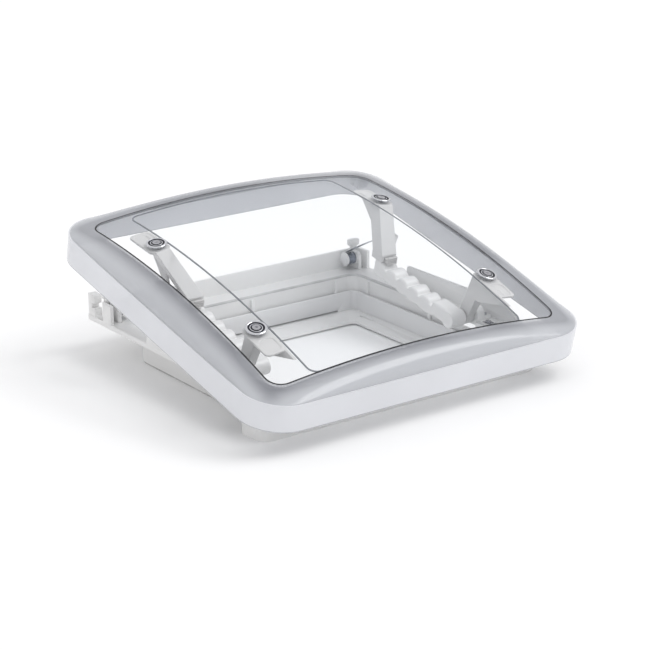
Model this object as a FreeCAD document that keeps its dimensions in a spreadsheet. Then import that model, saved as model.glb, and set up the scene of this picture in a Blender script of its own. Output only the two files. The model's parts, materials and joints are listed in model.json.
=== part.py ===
import FreeCAD, Part
import math
import os
import re
import Sketcher

from FreeCAD import Placement, Rotation, Vector

# Tilting cover for a roof opening: a moulded frame that stands on the roof, and a double
# acrylic dome that tilts on two hinge pins near its front edge.
# Frame of the model: X along the hinge, +Y to the rear (the side that lifts), +Z up, and
# the origin at the centre of the four seat screws, on the plane that the frame stands on.
# The dome pieces are drawn closed, and their Placement tilts them to the stored angle.

SIZES = [
    ("open_angle", 13.2, "stored tilt of the dome, degrees"),
    ("pivot_y", -84.0, "hinge axis, front to rear"),
    ("pivot_z", 49.0, "hinge axis, height"),
    ("frame_width", 368.0, "rim of the frame, side to side"),
    ("frame_depth", 338.0, "rim of the frame, front to rear"),
    ("frame_corner", 9.0, "rim corner radius"),
    ("rail_width", 374.0, "front rail, side to side"),
    ("rail_return", 38.0, "front rail, length of its side returns"),
    ("rail_corner", 14.0, "front rail corner radius"),
    ("plate_top", 45.0, "top of the rim plate"),
    ("plate_thick", 6.0, "thickness of the rim plate"),
    ("wall_height", 22.0, "walls above the rim plate"),
    ("wall_thick", 4.0, "wall thickness of the frame"),
    ("wall_rear_end", 62.0, "where a side wall ends before its low stretch"),
    ("wall_slope_start", -112.0, "where a side wall starts to slope down"),
    ("wall_lip", 3.0, "height of the low front lip"),
    ("ledge_deep", 30.0, "rim plate behind the rear wall"),
    ("wall_return", 25.0, "length of the tall side wall at its rear corner"),
    ("lug_length", 14.0, "rear corner hook, front to rear"),
    ("lug_thick", 10.0, "rear corner hook, side to side"),
    ("lug_height", 26.0, "rear corner hook above the rim plate"),
    ("lug_notch", 6.0, "notch in the front of a rear corner hook, both ways"),
    ("well_width", 304.0, "well inside the kerb, side to side"),
    ("well_depth", 286.0, "well inside the kerb, front to rear"),
    ("well_mid", -12.0, "middle of the well, front to rear"),
    ("well_corner", 14.0, "well corner radius"),
    ("kerb_thick", 4.0, "kerb wall"),
    ("seat_thick", 2.5, "floor ring at the foot of the kerb"),
    ("gasket_thick", 2.0, "gasket under the floor ring"),
    ("opening_width", 234.0, "clear opening, side to side"),
    ("opening_depth", 218.0, "clear opening, front to rear"),
    ("opening_mid", -24.0, "middle of the clear opening"),
    ("opening_corner", 8.0, "clear opening corner radius"),
    ("collar_gap", 3.5, "gap between kerb and inner collar"),
    ("collar_thick", 2.2, "inner collar wall"),
    ("collar_top", 23.0, "top of the inner collar"),
    ("collar_slot", 2.0, "height of the drain slot under the collar"),
    ("rim_seal_wide", 4.0, "seal round the well, width"),
    ("rim_seal_high", 2.0, "seal round the well, height"),
    ("rib_wide", 4.0, "upright rib, width"),
    ("rib_deep", 3.0, "upright rib, depth"),
    ("seat_hole_x", 135.0, "seat screw, half spacing side to side"),
    ("seat_hole_y", 95.0, "seat screw, half spacing front to rear"),
    ("seat_hole", 2.2, "seat screw hole radius"),
    ("pin_radius", 2.5, "hinge pin radius"),
    ("pin_play", 0.06, "running clearance on the radius"),
    ("pin_head", 4.5, "hinge pin head radius"),
    ("grip_wide", 21.0, "grip handle, side to side"),
    ("grip_under", 38.5, "underside of the grip handle"),
    ("grip_thick", 12.5, "grip bar under its humps"),
    ("grip_rear", 57.0, "rear end of the grip handle"),
    ("hump_pitch", 21.5, "finger hump spacing"),
    ("hump_radius", 11.5, "finger hump radius"),
    ("hump_first", 47.0, "first finger hump"),
    ("elbow_length", 30.0, "plain end of the grip ahead of its humps"),
    ("elbow_top", 59.0, "top of the plain end"),
    ("knuckle_radius", 10.0, "knuckle round the hinge pin"),
    ("side_play", 1.5, "gap between neighbouring knuckles"),
    ("knuckle_wide", 10.0, "front post knuckle, along the pin"),
    ("bracket_wide", 10.0, "hinge bracket cheek, along the pin"),
    ("bracket_long", 28.0, "hinge bracket, front to rear"),
    ("bracket_rise", 16.0, "hinge bracket above the rim plate"),
    ("bracket_foot", 20.0, "hinge bracket foot, side to side"),
    ("foot_thick", 3.0, "hinge bracket foot"),
    ("screw_radius", 1.5, "small screw shank radius"),
    ("screw_head", 3.2, "small screw head radius"),
    ("head_thick", 2.0, "small screw head"),
    ("skirt_bottom", 58.0, "lower edge of the closed dome"),
    ("dome_size", 440.0, "dome across its skirt, both ways"),
    ("skirt_corner", 48.0, "skirt corner radius"),
    ("skirt_height", 31.7, "plain skirt below the crown"),
    ("skirt_step", 1.5, "step from the skirt in to the crown"),
    ("crown_height", 66.4, "top of the crown above the skirt's edge"),
    ("crown_radius", 1265.0, "radius of the crown"),
    ("crown_round", 16.0, "rounding between crown and skirt"),
    ("dome_wall", 3.0, "outer dome wall"),
    ("pane_depth", 374.0, "inner pane, front to rear"),
    ("pane_corner", 12.0, "inner pane corner radius"),
    ("pane_play", 1.4, "gap between the inner pane and a post's top plate"),
    ("pane_wall", 2.0, "inner pane wall"),
    ("pane_gap", 1.2, "air gap between dome and inner pane"),
    ("seal_wide", 1.6, "seal round the inner pane, width"),
    ("seal_thick", 0.8, "seal round the inner pane, height"),
    ("post_x", 156.0, "post screw, half spacing side to side"),
    ("post_y", 101.5, "post screw, half spacing front to rear"),
    ("post_bolt", 2.5, "post screw shank radius"),
    ("bolt_play", 0.3, "clearance round a post screw"),
    ("cup_radius", 12.0, "screw rosette radius"),
    ("cup_thick", 2.4, "screw rosette height"),
    ("tab_wide", 26.0, "post top plate, side to side"),
    ("tab_long", 52.0, "post top plate, front to rear"),
    ("tab_back", 11.0, "post top plate beyond its screw"),
    ("tab_thick", 3.2, "post top plate thickness"),
    ("tab_corner", 6.0, "post top plate corner radius"),
    ("tab_rim", 3.0, "rim round the recess in a post top plate"),
    ("recess_deep", 1.4, "recess in a post top plate"),
    ("web_thick", 3.0, "post web thickness"),
    ("seat_gap", 0.3, "gap left between curved faces"),
    ("foot_long", 20.0, "rear post foot, front to rear"),
    ("foot_rise", 9.0, "rear post foot height"),
    ("button_wide", 13.0, "release button, side to side"),
    ("button_high", 6.0, "release button height"),
    ("button_long", 16.0, "release button, front to rear"),
    ("button_travel", 4.0, "release button travel"),
    ("button_play", 0.3, "gap round the release button"),
    ("drum_x", 153.0, "inboard end of the spring drum"),
    ("drum_y", 155.0, "spring drum axis, front to rear"),
    ("drum_z", 59.0, "spring drum axis, height"),
    ("drum_wide", 15.0, "spring drum along its axis"),
    ("drum_radius", 8.5, "spring drum flange radius"),
    ("drum_core", 4.2, "spring drum core radius"),
    ("flange_thick", 2.5, "spring drum flange"),
    ("coil_radius", 7.5, "wound spring, outer radius"),
    ("axle_radius", 2.0, "drum axle radius"),
    ("cradle_wide", 5.0, "spring cradle along the drum axis"),
    ("cradle_rise", 21.5, "spring cradle above the rim plate"),
    ("ribbon_wide", 9.0, "spring ribbon width"),
    ("ribbon_thick", 0.5, "spring ribbon thickness"),
    ("hook_y", 84.0, "where the ribbon meets the post, closed"),
    ("hook_z", 68.0, "height of that place, closed"),
    ("striker_x", 175.0, "striker, half spacing"),
    ("striker_wide", 15.0, "striker head, side to side"),
    ("striker_high", 8.0, "striker head height"),
    ("striker_neck", 4.0, "striker neck height"),
    ("leaf_wide", 9.0, "leaf spring width"),
    ("leaf_long", 34.0, "leaf spring blade length"),
    ("leaf_thick", 0.8, "leaf spring thickness"),
    ("leaf_fold", -116.0, "where the blade leaves its foot"),
    ("leaf_foot", 11.0, "leaf spring foot length"),
    ("leaf_x", 163.0, "leaf spring centre, half spacing"),
    ("leaf_tilt", 6.0, "leaf spring slope, degrees"),
    ("clip_size", 15.0, "corner buffer, both ways"),
    ("clip_drop", 17.0, "corner buffer below the dome's shoulder"),
    ("clip_inset", 22.0, "corner buffer centre, in from the edge of the dome"),
    ("bracket_gap", 2.0, "gap between a hinge bracket and the side wall"),
]

# Sizes that follow from the others. The hinge stack is counted from the side wall inwards.
DERIVED = [
    ("clip_place", "dome_size / 2 - clip_inset", "corner buffer, half spacing both ways"),
    ("bracket_inner", "frame_width / 2 - wall_thick - bracket_gap - bracket_foot", "inboard face of the bracket"),
    ("post_inner", "bracket_inner - side_play - knuckle_wide", "inboard face of the front post's knuckle"),
    ("grip_inner", "post_inner - side_play - grip_wide", "inboard face of the grip handle"),
    ("pane_width", "2 * (post_x - tab_wide / 2 - pane_play)", "inner pane, side to side"),
]

doc = FreeCAD.newDocument("RoofVentCover")
sheet = doc.addObject("Spreadsheet::Sheet", "Sizes")
for row, (alias, number, note) in enumerate(SIZES, start=1):
    sheet.set(f"A{row}", note)
    sheet.set(f"B{row}", str(number))
    sheet.setAlias(f"B{row}", alias)
for row, (alias, rule, note) in enumerate(DERIVED, start=len(SIZES) + 1):
    sheet.set(f"A{row}", note)
    sheet.set(f"B{row}", "=" + rule)
    sheet.setAlias(f"B{row}", alias)
doc.recompute()

VALUES = {alias: float(sheet.get(alias)) for alias, content, note in SIZES + DERIVED}
NODES = []
BIG = 600.0


def expr(text):
    """An expression with each alias written the way the document reads it."""
    return re.sub(r"[a-z]+(_[a-z]+)+", lambda found: "Sizes." + found.group(0), str(text))


def number(text):
    """The present value of an expression, for first positions and computed shapes."""
    result = sheet.evalExpression(expr(text))
    return float(getattr(result, "Value", result))


def bind(item, **expressions):
    for name, text in expressions.items():
        item.setExpression(name, expr(text))
    return item


def place(item, x="0", y="0", z="0"):
    for letter, text in zip("xyz", (x, y, z)):
        item.setExpression("Placement.Base." + letter, expr(text))
    return item


def box(name, x, y, z):
    """A box from (low, high) expressions along each axis."""
    item = doc.addObject("Part::Box", name)
    for size, (low, high) in zip(("Length", "Width", "Height"), (x, y, z)):
        item.setExpression(size, expr(f"({high}) - ({low})"))
    return place(item, x[0], y[0], z[0])


AXES = {"X": Rotation(Vector(0, 1, 0), 90), "Y": Rotation(Vector(1, 0, 0), -90), "Z": Rotation()}


def cylinder(name, radius, length, start, axis="Z"):
    """A cylinder that runs from its start point towards +X, +Y or +Z."""
    item = doc.addObject("Part::Cylinder", name)
    bind(item, Radius=radius, Height=length)
    item.Placement = Placement(Vector(), AXES[axis])
    return place(item, *start)


def fuse(name, *items):
    item = doc.addObject("Part::MultiFuse", name)
    item.Shapes = list(items)
    item.Refine = True
    return item


def cut(name, base, *tools):
    tool = tools[0] if len(tools) == 1 else fuse(name + "Tools", *tools)
    item = doc.addObject("Part::Cut", name)
    item.Base, item.Tool = base, tool
    item.Refine = True
    return item


def common(name, *items):
    item = doc.addObject("Part::MultiCommon", name)
    item.Shapes = list(items)
    return item


def fillet(name, base, radius, picks):
    """Rounds the edges that picks(edge) accepts."""
    doc.recompute()
    item = doc.addObject("Part::Fillet", name)
    item.Base = base
    size = number(radius)
    item.Edges = [(place_, size, size) for place_, edge in enumerate(base.Shape.Edges, 1) if picks(edge)]
    return item


def node(item, label, tilted=False):
    """Marks a finished sub-part. A tilted one turns about the hinge axis to the stored angle."""
    if tilted:
        item.Placement = Placement(Vector(), Rotation(Vector(1, 0, 0), 1.0))
        bind(item, **{
            "Placement.Rotation.Angle": "open_angle",
            "Placement.Base.y": "pivot_y * (1 - cos(open_angle)) + pivot_z * sin(open_angle)",
            "Placement.Base.z": "pivot_z * (1 - cos(open_angle)) - pivot_y * sin(open_angle)",
        })
    item.Label = label
    NODES.append(item)
    return item


# ---------------------------------------------------------------- sketches

def add_rounded(sketch, width, depth, radius, mid="0"):
    """A rounded rectangle about X = 0 whose middle lies at Y = mid."""
    half, deep, corner, centre = (number(t) for t in (f"({width}) / 2", f"({depth}) / 2", radius, mid))
    low, high = centre - deep, centre + deep
    first = sketch.GeometryCount
    corners = [(half, low, -90), (half, high, 0), (-half, high, 90), (-half, low, 180)]
    lines = [((-half + corner, low), (half - corner, low)), ((half, low + corner), (half, high - corner)),
             ((half - corner, high), (-half + corner, high)), ((-half, high - corner), (-half, low + corner))]
    for start, end in lines:
        sketch.addGeometry(Part.LineSegment(Vector(*start, 0), Vector(*end, 0)))
    for x, y, angle in corners:
        middle = Vector(x - math.copysign(corner, x), y + (corner if y == low else -corner), 0)
        circle = Part.Circle(middle, Vector(0, 0, 1), corner)
        sketch.addGeometry(Part.ArcOfCircle(circle, math.radians(angle), math.radians(angle + 90)))
    for side in range(4):
        line, arc, following = first + side, first + 4 + side, first + (side + 1) % 4
        add(sketch, "Tangent", line, 2, arc, 1)
        add(sketch, "Tangent", arc, 2, following, 1)
        add(sketch, "Horizontal" if side % 2 == 0 else "Vertical", line)
    for arc in range(first + 5, first + 8):
        add(sketch, "Equal", first + 4, arc)
    add(sketch, "Radius", first + 4, corner, rule=radius)
    add(sketch, "DistanceX", -1, 1, first + 1, 1, half, rule=f"({width}) / 2")
    add(sketch, "DistanceX", first + 3, 1, -1, 1, half, rule=f"({width}) / 2")
    add(sketch, "DistanceY", -1, 1, first + 2, 1, high, rule=f"({mid}) + ({depth}) / 2")
    add(sketch, "DistanceY", -1, 1, first, 1, low, rule=f"({mid}) - ({depth}) / 2")


def add(sketch, *terms, rule=None):
    place_ = sketch.addConstraint(Sketcher.Constraint(*terms))
    if rule is not None:
        sketch.setExpression(f"Constraints[{place_}]", expr(rule))


def add_polygon(sketch, points):
    """A closed outline whose corners are (x, y) pairs of expressions."""
    first = sketch.GeometryCount
    spots = [Vector(number(x), number(y), 0) for x, y in points]
    count = len(spots)
    for side in range(count):
        sketch.addGeometry(Part.LineSegment(spots[side], spots[(side + 1) % count]))
    for side in range(count):
        add(sketch, "Coincident", first + side, 2, first + (side + 1) % count, 1)
    for side, (x, y) in enumerate(points):
        add(sketch, "DistanceX", -1, 1, first + side, 1, spots[side].x, rule=x)
        add(sketch, "DistanceY", -1, 1, first + side, 1, spots[side].y, rule=y)


def add_rectangle(sketch, x, y):
    add_polygon(sketch, [(x[0], y[0]), (x[1], y[0]), (x[1], y[1]), (x[0], y[1])])


def add_pair(sketch, x, y):
    """A rectangle at +X and its mirror image at -X."""
    add_rectangle(sketch, x, y)
    add_rectangle(sketch, (f"-({x[1]})", f"-({x[0]})"), y)


def add_circle(sketch, x, y, radius):
    spot = Vector(number(x), number(y), 0)
    item = sketch.addGeometry(Part.Circle(spot, Vector(0, 0, 1), number(radius)))
    add(sketch, "Radius", item, number(radius), rule=radius)
    add(sketch, "DistanceX", -1, 1, item, 3, spot.x, rule=x)
    add(sketch, "DistanceY", -1, 1, item, 3, spot.y, rule=y)


def flat_sketch(body, name, level="0", plane="XY_Plane"):
    sketch = body.newObject("Sketcher::SketchObject", name)
    datum = next(item for item in body.Origin.OriginFeatures if item.Role == plane)
    sketch.AttachmentSupport = (datum, [""])
    sketch.MapMode = "FlatFace"
    sketch.setExpression("AttachmentOffset.Base.z", expr(level))
    return sketch


def pad(body, name, level, height, *outlines):
    sketch = flat_sketch(body, name + "Sketch", level)
    for draw, terms in outlines:
        draw(sketch, *terms)
    item = body.newObject("PartDesign::Pad", name)
    item.Profile = sketch
    item.Refine = True
    return bind(item, Length=height)


def pocket(body, name, level, depth, *outlines):
    sketch = flat_sketch(body, name + "Sketch", level)
    for draw, terms in outlines:
        draw(sketch, *terms)
    item = body.newObject("PartDesign::Pocket", name)
    item.Profile = sketch
    item.Refine = True
    return bind(item, Length=depth)


def new_body(name):
    return doc.addObject("PartDesign::Body", name)


# ---------------------------------------------------------------- frame

def make_base_frame():
    body = new_body("BaseFrame")
    rail_inside = ("rail_width - 2 * wall_thick", "frame_depth - 2 * wall_thick", "rail_corner - wall_thick")
    pad(body, "Rail", "0", "plate_top",
        (add_rounded, ("rail_width", "frame_depth", "rail_corner")), (add_rounded, rail_inside))
    pocket(body, "RailEnd", "plate_top", "plate_top",
           (add_rectangle, (("-rail_width", "rail_width"),
                            ("rail_return - frame_depth / 2", "frame_depth"))))
    pad(body, "Kerb", "gasket_thick", "plate_top - gasket_thick",
        (add_rounded, ("well_width + 2 * kerb_thick", "well_depth + 2 * kerb_thick",
                       "well_corner + kerb_thick", "well_mid")))
    pad(body, "Plate", "plate_top - plate_thick", "plate_thick",
        (add_rounded, ("frame_width", "frame_depth", "frame_corner")))
    pad(body, "Walls", "plate_top", "wall_height",
        (add_rounded, ("frame_width", "frame_depth", "frame_corner")),
        (add_rounded, ("frame_width - 2 * wall_thick", "frame_depth - 2 * wall_thick",
                       "frame_corner - wall_thick")))
    cut_wall_outline(body)
    add_ledge(body)
    pocket(body, "Well", "plate_top", "plate_top - gasket_thick - seat_thick",
           (add_rounded, ("well_width", "well_depth", "well_corner", "well_mid")))
    pocket(body, "Opening", "plate_top", "plate_top",
           (add_rounded, ("opening_width", "opening_depth", "opening_corner", "opening_mid")))
    pocket(body, "KnuckleRoom", "plate_top", "plate_thick + knuckle_radius / 2",
           (add_pair, (("well_width / 2 - 2", "post_inner + knuckle_wide + 1"),
                       ("pivot_y - knuckle_radius - 7", "pivot_y + knuckle_radius + 7"))))
    pocket(body, "SeatHoles", "gasket_thick + seat_thick", "gasket_thick + seat_thick",
           *[(add_circle, (f"{side} * seat_hole_x", f"{end} * seat_hole_y", "seat_hole"))
             for side in (-1, 1) for end in (-1, 1)])
    add_ribs(body)
    return node(body, "base_frame")


def cut_wall_outline(body):
    """The side walls slope down at the front and drop to the plate ahead of the rear corners."""
    sketch = flat_sketch(body, "WallOutline", "0", "YZ_Plane")
    top = "plate_top + wall_height + 1"
    low = "plate_top + wall_lip"
    add_polygon(sketch, [("wall_slope_start", top), ("wall_slope_start - 2 * (wall_height - wall_lip)", low),
                         ("-frame_depth", low), ("-frame_depth", top)])
    add_polygon(sketch, [("wall_rear_end", top), ("wall_rear_end + 4", "plate_top"),
                         ("frame_depth / 2 - wall_return", "plate_top"), ("frame_depth / 2 - wall_return", top)])
    item = body.newObject("PartDesign::Pocket", "WallCut")
    item.Profile = sketch
    item.SideType = "Symmetric"
    item.Refine = True
    return bind(item, Length="2 * frame_width")


def add_ledge(body):
    """The rim plate runs on behind the rear wall, with a notched hook at its far left corner."""
    rear = "frame_depth / 2 + ledge_deep"
    pad(body, "Ledge", "plate_top - plate_thick", "plate_thick",
        (add_rounded, ("frame_width", "2 * ledge_deep", "frame_corner / 3", "frame_depth / 2")))
    pad(body, "Hook", "plate_top - plate_thick", "plate_thick + lug_height",
        (add_rectangle, (("-frame_width / 2 + 0.5", "-frame_width / 2 + lug_thick"),
                         (f"{rear} - 3 - lug_length", f"{rear} - 3"))))
    pocket(body, "HookNotch", "plate_top + lug_height / 2 + lug_notch / 2", "lug_notch",
           (add_rectangle, (("-frame_width / 2 - 1", "-frame_width / 2 + lug_thick + 1"),
                            (f"{rear} - 4 - lug_length", f"{rear} - 3 - lug_length + lug_notch"))))


def add_ribs(body):
    """Upright ribs on the kerb above the collar."""
    rear_face = "(well_mid + well_depth / 2)"
    spots = [(f"({x}) * (well_width / 2 - 30) - rib_wide / 2", f"({x}) * (well_width / 2 - 30) + rib_wide / 2",
              f"{rear_face} - rib_deep", f"{rear_face} + 1") for x in (-1, 0, 1)]
    side_face = "well_width / 2"
    for place_ in ("28", "150"):
        spots.append((f"{side_face} - rib_deep", f"{side_face} + 1",
                      f"{rear_face} - {place_} - rib_wide / 2", f"{rear_face} - {place_} + rib_wide / 2"))
        spots.append((f"-{side_face} - 1", f"-{side_face} + rib_deep",
                      f"{rear_face} - {place_} - rib_wide / 2", f"{rear_face} - {place_} + rib_wide / 2"))
    pad(body, "Ribs", "collar_top - 6", "plate_top - collar_top + 4",
        *[(add_rectangle, ((x0, x1), (y0, y1))) for x0, x1, y0, y1 in spots])


def make_ring(name, level, height, outer, inner):
    body = new_body(name)
    pad(body, name + "Ring", level, height, (add_rounded, outer), (add_rounded, inner))
    return body


def make_collar():
    outer = ("well_width - 2 * collar_gap", "well_depth - 2 * collar_gap", "well_corner - collar_gap", "well_mid")
    inner = ("well_width - 2 * collar_gap - 2 * collar_thick", "well_depth - 2 * collar_gap - 2 * collar_thick",
             "well_corner - collar_gap - collar_thick", "well_mid")
    base = "gasket_thick + seat_thick"
    body = make_ring("InnerCollar", base, f"collar_top - {base}", outer, inner)
    pocket(body, "DrainSlot", base + " + collar_slot", "collar_slot",
           (add_rectangle, (("-0.4 * well_width", "0.4 * well_width"), ("-well_depth", "well_depth"))))
    return node(body, "inner_collar")


def make_gasket():
    outer = ("well_width + 2 * kerb_thick - 1", "well_depth + 2 * kerb_thick - 1",
             "well_corner + kerb_thick - 0.5", "well_mid")
    inner = ("opening_width + 10", "opening_depth + 10", "opening_corner + 5", "opening_mid")
    body = make_ring("SeatGasket", "0", "gasket_thick", outer, inner)
    pocket(body, "GasketHoles", "gasket_thick", "gasket_thick",
           *[(add_circle, (f"{side} * seat_hole_x", f"{end} * seat_hole_y", "seat_hole"))
             for side in (-1, 1) for end in (-1, 1)])
    return node(body, "seat_gasket")


def make_rim_seal():
    """Soft ring on the rim plate round the well, open at the four hinge knuckles."""
    outer = ("well_width + 2 * rim_seal_wide", "well_depth + 2 * rim_seal_wide", "well_corner + rim_seal_wide",
             "well_mid")
    inner = ("well_width", "well_depth", "well_corner", "well_mid")
    body = make_ring("RimSeal", "plate_top", "rim_seal_high", outer, inner)
    pocket(body, "RimSealRoom", "plate_top + rim_seal_high", "rim_seal_high + 1",
           (add_pair, (("well_width / 2 - 5", "well_width / 2 + rim_seal_wide + 5"),
                       ("pivot_y - bracket_long / 2 - 4", "pivot_y + bracket_long / 2 + 4"))))
    return node(body, "rim_seal")


# ---------------------------------------------------------------- left and right pieces

def span(side, low, high):
    """(low, high) along X on one side of the middle, in ascending order."""
    return (low, high) if side > 0 else (f"-({high})", f"-({low})")


def make_hinge(side, tag):
    low, high = span(side, "bracket_inner", "bracket_inner + bracket_wide")
    long_ = ("pivot_y - bracket_long / 2", "pivot_y + bracket_long / 2")
    cheek = box("Cheek" + tag, (low, high), long_, ("plate_top", "plate_top + bracket_rise"))
    cheek = fillet("CheekRound" + tag, cheek, "bracket_long / 2 - 4",
                   lambda edge: along(edge, "x") and edge.CenterOfMass.z > number("plate_top + 1"))
    foot_span = span(side, "bracket_inner", "bracket_inner + bracket_foot")
    foot = box("Foot" + tag, foot_span, long_, ("plate_top", "plate_top + foot_thick"))
    bore = cylinder("BracketBore" + tag, "pin_radius + 0.02", "bracket_wide + 2",
                    (f"{low} - 1", "pivot_y", "pivot_z"), "X")
    screw_x = f"{side} * (bracket_inner + bracket_foot - 5)"
    holes = [cylinder(f"FootHole{end}{tag}", "screw_radius + 0.1", "foot_thick + 2",
                      (screw_x, f"pivot_y + {sign} * bracket_long / 4", "plate_top - 1"))
             for end, sign in (("A", -1), ("B", 1))]
    node(cut("Bracket" + tag, fuse("BracketBlank" + tag, cheek, foot), bore, *holes), "hinge_bracket_" + tag)
    shank = span(side, "grip_inner + 1.5", "bracket_inner + bracket_wide")
    pin = cylinder("PinShank" + tag, "pin_radius", f"({shank[1]}) - ({shank[0]})",
                   (shank[0], "pivot_y", "pivot_z"), "X")
    head_span = span(side, "bracket_inner + bracket_wide", "bracket_inner + bracket_wide + 2")
    head = cylinder("PinHead" + tag, "pin_head", "2", (head_span[0], "pivot_y", "pivot_z"), "X")
    head = cut("PinHeadFlat" + tag, head, box("PinHeadCut" + tag, (f"{head_span[0]} - 1", f"{head_span[1]} + 1"),
                                               ("pivot_y - 9", "pivot_y + 9"),
                                               ("plate_top - 9", "plate_top + foot_thick + 0.1")))
    node(fuse("Pin" + tag, pin, head), "hinge_pin_" + tag)


def along(edge, letter):
    """True for a straight edge along one axis."""
    if edge.Degenerated or len(edge.Vertexes) != 2:
        return False
    reach = edge.Vertexes[1].Point - edge.Vertexes[0].Point
    return reach.Length > edge.Length - 1e-6 and abs(getattr(reach, letter)) > reach.Length - 1e-6


def make_screws(name, label, spots, base, length):
    """Pan-head screws as a group of separate solids."""
    screws = []
    for count, (x, y) in enumerate(spots):
        shank = cylinder(f"{name}Shank{count}", "screw_radius", length, (x, y, base))
        head = cylinder(f"{name}Head{count}", "screw_head", "head_thick", (x, y, f"({base}) + ({length})"))
        slot = box(f"{name}Slot{count}", (f"({x}) - screw_head", f"({x}) + screw_head"),
                   (f"({y}) - 0.4", f"({y}) + 0.4"),
                   (f"({base}) + ({length}) + head_thick - 0.8", f"({base}) + ({length}) + head_thick + 1"))
        screws.append(cut(f"{name}One{count}", fuse(f"{name}Blank{count}", shank, head), slot))
    group = doc.addObject("Part::Compound", name)
    group.Links = screws
    return node(group, label)


def make_spring_drive(side, tag):
    """Cradle on the rim plate, and the drum and coil that turn on its axle."""
    drum = span(side, "drum_x", "drum_x + drum_wide")
    cradle = span(side, "drum_x + drum_wide + seat_gap", "drum_x + drum_wide + seat_gap + cradle_wide")
    block = box("CradleBlock" + tag, cradle, ("drum_y - 9", "frame_depth / 2 - wall_thick"),
                ("plate_top", "plate_top + cradle_rise"))
    block = fillet("CradleRound" + tag, block, "6",
                   lambda edge: along(edge, "x") and edge.CenterOfMass.z > number("plate_top + 1")
                   and edge.CenterOfMass.y < number("drum_y"))
    axle_span = span(side, "drum_x + flange_thick + 0.5", "drum_x + drum_wide + seat_gap + 1")
    axle = cylinder("Axle" + tag, "axle_radius", f"({axle_span[1]}) - ({axle_span[0]})",
                    (axle_span[0], "drum_y", "drum_z"), "X")
    node(fuse("Cradle" + tag, block, axle), "spring_cradle_" + tag)

    core = cylinder("DrumCore" + tag, "drum_core", "drum_wide", (drum[0], "drum_y", "drum_z"), "X")
    inner_span = span(side, "drum_x", "drum_x + flange_thick")
    outer_span = span(side, "drum_x + drum_wide - 1.2", "drum_x + drum_wide")
    discs = [cylinder(f"Disc{end}{tag}", "drum_radius", f"({reach[1]}) - ({reach[0]})",
                      (reach[0], "drum_y", "drum_z"), "X")
             for end, reach in (("A", inner_span), ("B", outer_span))]
    bore_span = span(side, "drum_x + flange_thick", "drum_x + drum_wide + 1")
    bore = cylinder("DrumBore" + tag, "axle_radius + pin_play", f"({bore_span[1]}) - ({bore_span[0]})",
                    (bore_span[0], "drum_y", "drum_z"), "X")
    node(cut("Drum" + tag, fuse("DrumBlank" + tag, core, *discs), bore), "spring_drum_" + tag)

    coil_span = span(side, "drum_x + flange_thick + 0.3", "drum_x + drum_wide - 1.5")
    width = f"({coil_span[1]}) - ({coil_span[0]})"
    coil = cylinder("CoilBlank" + tag, "coil_radius", width, (coil_span[0], "drum_y", "drum_z"), "X")
    hollow = cylinder("CoilBore" + tag, "drum_core + 0.02", f"{width} + 2",
                      (f"{coil_span[0]} - 1", "drum_y", "drum_z"), "X")
    node(cut("Coil" + tag, coil, hollow), "spring_coil_" + tag)
    make_ribbon(side, tag)


def tilt_point(y, z):
    """A point of the closed dome, turned to the stored angle."""
    angle = math.radians(VALUES["open_angle"])
    dy, dz = y - VALUES["pivot_y"], z - VALUES["pivot_z"]
    return (VALUES["pivot_y"] + dy * math.cos(angle) - dz * math.sin(angle),
            VALUES["pivot_z"] + dy * math.sin(angle) + dz * math.cos(angle))


def make_ribbon(side, tag):
    """The free stretch of the spring, straight from the top of its coil to the rear post."""
    width, thick = VALUES["ribbon_wide"], VALUES["ribbon_thick"]
    coil_y, coil_z = VALUES["drum_y"], VALUES["drum_z"]
    reach = VALUES["coil_radius"] + VALUES["seat_gap"]
    end_y, end_z = tilt_point(VALUES["hook_y"], VALUES["hook_z"])
    distance = math.hypot(end_y - coil_y, end_z - coil_z)
    bearing = math.atan2(end_z - coil_z, coil_y - end_y)
    rise = bearing - math.asin((reach + thick / 2) / distance)
    length = math.sqrt(distance ** 2 - reach ** 2)
    middle_x = side * number("drum_x + (drum_wide + flange_thick - 1.2) / 2")
    strip = Part.makeBox(width, length, thick, Vector(-width / 2, 0, reach))
    turned = Placement(Vector(middle_x, coil_y, coil_z), Rotation(Vector(1, 0, 0), -math.degrees(rise))
                       .multiply(Rotation(Vector(0, 0, 1), 180)))
    item = doc.addObject("Part::Feature", "Ribbon" + tag)
    item.Shape = strip
    item.Placement = turned
    node(item, "spring_ribbon_" + tag)


def make_striker(side, tag):
    rear = ("frame_depth / 2 - 6.5", "frame_depth / 2 - 0.5")
    top = "plate_top + wall_height"
    centre = f"{side} * striker_x"
    neck = box("Neck" + tag, (f"{centre} - striker_wide / 4", f"{centre} + striker_wide / 4"), rear,
               (top, f"{top} + striker_neck"))
    head = box("Head" + tag, (f"{centre} - striker_wide / 2", f"{centre} + striker_wide / 2"), rear,
               (f"{top} + striker_neck", f"{top} + striker_neck + striker_high"))
    head = fillet("HeadRound" + tag, head, "2", lambda edge: along(edge, "y"))
    node(fuse("Striker" + tag, neck, head), "striker_" + tag)


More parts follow.
